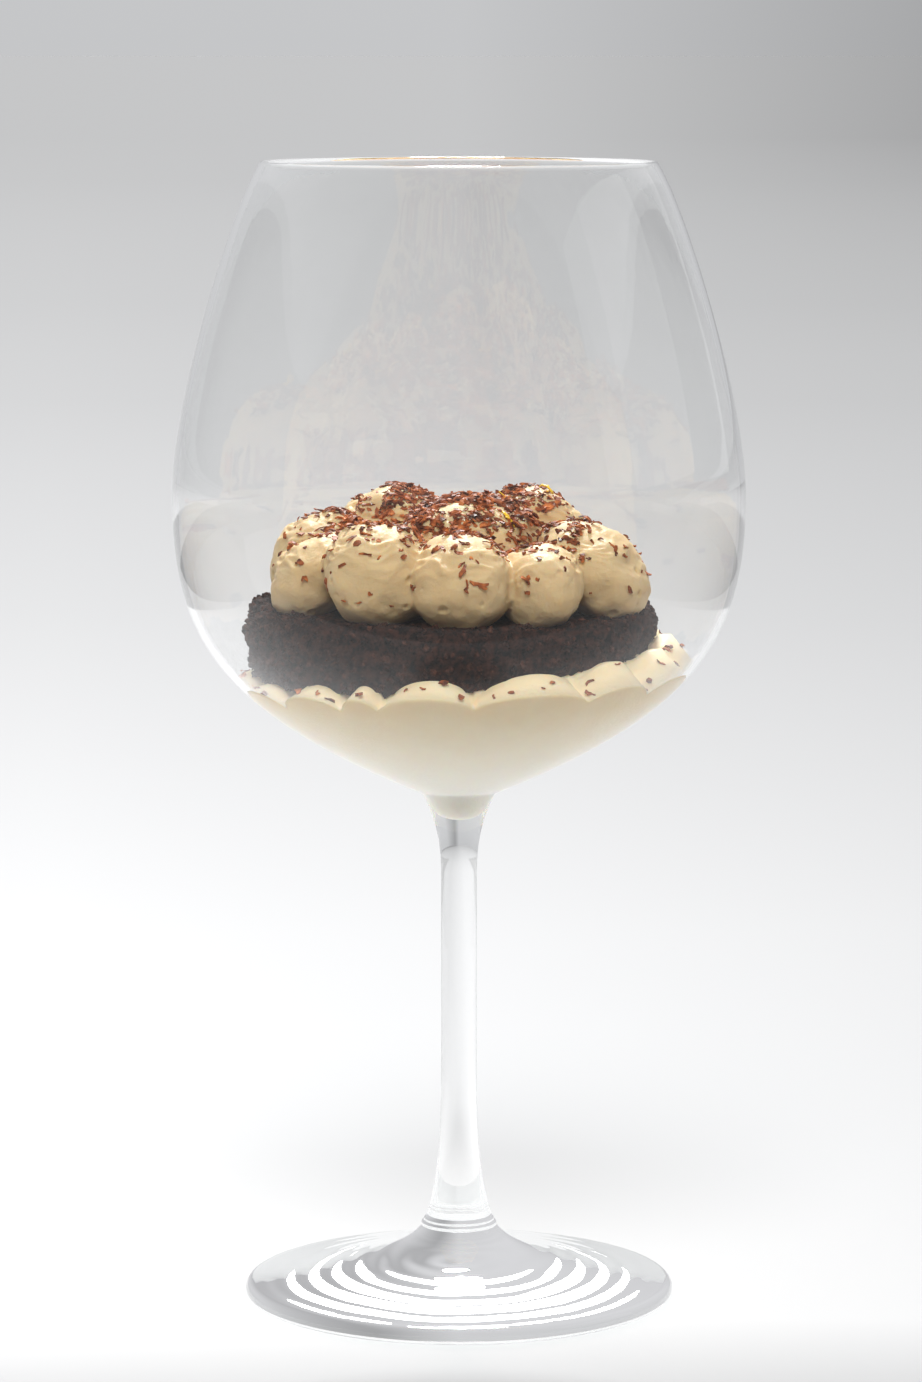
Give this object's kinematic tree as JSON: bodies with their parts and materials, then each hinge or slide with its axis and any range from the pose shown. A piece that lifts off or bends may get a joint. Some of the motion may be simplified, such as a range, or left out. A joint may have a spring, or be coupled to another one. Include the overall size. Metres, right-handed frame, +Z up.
{
  "type": "chocolate mousse dessert in a wine glass",
  "caption": "Layered dessert in a large stemmed wine glass: pale mousse dollops below and above a dark chocolate sponge disc, strewn with chocolate shavings and citrus zest.",
  "frame": {"origin": "centre of the glass's foot, on the surface it stands on", "axes": "+Z up along the glass's axis, -Y towards the side shown in front, +X to its right"},
  "size_m": [0.1108, 0.1108, 0.222],
  "materials": {
    "clear_glass": "polished",
    "lower_mousse": "satin",
    "chocolate_sponge": "matte",
    "mousse_crown": "satin",
    "chocolate_shavings": "satin",
    "citrus_zest": "satin"
  },
  "bodies": {
    "root": {"wine_glass": "clear_glass", "mousse_base": "lower_mousse", "chocolate_sponge": "chocolate_sponge", "mousse_top": "mousse_crown"}
  },
  "joints": []
}
